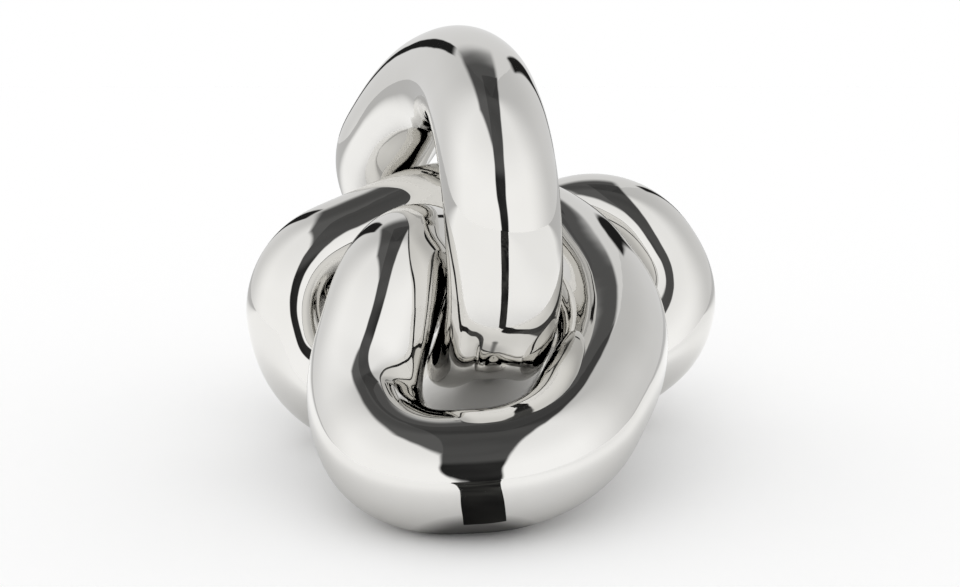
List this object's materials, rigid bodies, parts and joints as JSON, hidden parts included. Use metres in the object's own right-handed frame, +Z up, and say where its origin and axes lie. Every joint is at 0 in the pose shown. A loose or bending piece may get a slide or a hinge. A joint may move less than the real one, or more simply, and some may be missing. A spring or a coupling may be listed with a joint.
{
  "type": "metal knot sculpture",
  "caption": "Mirror-polished metal tube tied in a closed four-lobed overhand knot, a free-standing table sculpture or paperweight.",
  "frame": {"origin": "middle of the base, on the table top", "axes": "+Z up, -Y is the front that faces the viewer, +X is the viewer's right"},
  "size_m": [0.2445, 0.261, 0.2055],
  "materials": {
    "polished_tube": "mirror polished",
    "ring_steel": "machined, as welded, sealed inside",
    "vent_plug_steel": "mirror polished, flush with the tube"
  },
  "bodies": {
    "root": {"backing_ring_01": "ring_steel", "backing_ring_02": "ring_steel", "backing_ring_03": "ring_steel", "backing_ring_04": "ring_steel", "backing_ring_05": "ring_steel", "backing_ring_06": "ring_steel", "backing_ring_07": "ring_steel", "backing_ring_08": "ring_steel", "backing_ring_09": "ring_steel", "backing_ring_10": "ring_steel", "backing_ring_11": "ring_steel", "backing_ring_12": "ring_steel", "backing_ring_13": "ring_steel", "backing_ring_14": "ring_steel", "backing_ring_15": "ring_steel", "backing_ring_16": "ring_steel", "backing_ring_17": "ring_steel", "backing_ring_18": "ring_steel", "backing_ring_19": "ring_steel", "backing_ring_20": "ring_steel", "bend_arch_crown": "polished_tube", "bend_arch_front": "polished_tube", "bend_back_limb": "polished_tube", "bend_back_limb_foot": "polished_tube", "bend_back_strand": "polished_tube", "bend_front_leg": "polished_tube", "bend_front_leg_foot": "polished_tube", "bend_inner_strand": "polished_tube", "bend_left_crossing": "polished_tube", "bend_left_lobe_crown": "polished_tube", "bend_left_lobe_foot": "polished_tube", "bend_right_crossing": "polished_tube", "bend_right_lobe_crown": "polished_tube", "bend_right_lobe_foot": "polished_tube", "bend_right_lobe_side": "polished_tube", "bend_ring_bottom_left": "polished_tube", "bend_ring_bottom_right": "polished_tube", "bend_ring_crown": "polished_tube", "bend_ring_left": "polished_tube", "bend_ring_right": "polished_tube", "vent_plug": "vent_plug_steel"}
  },
  "joints": []
}
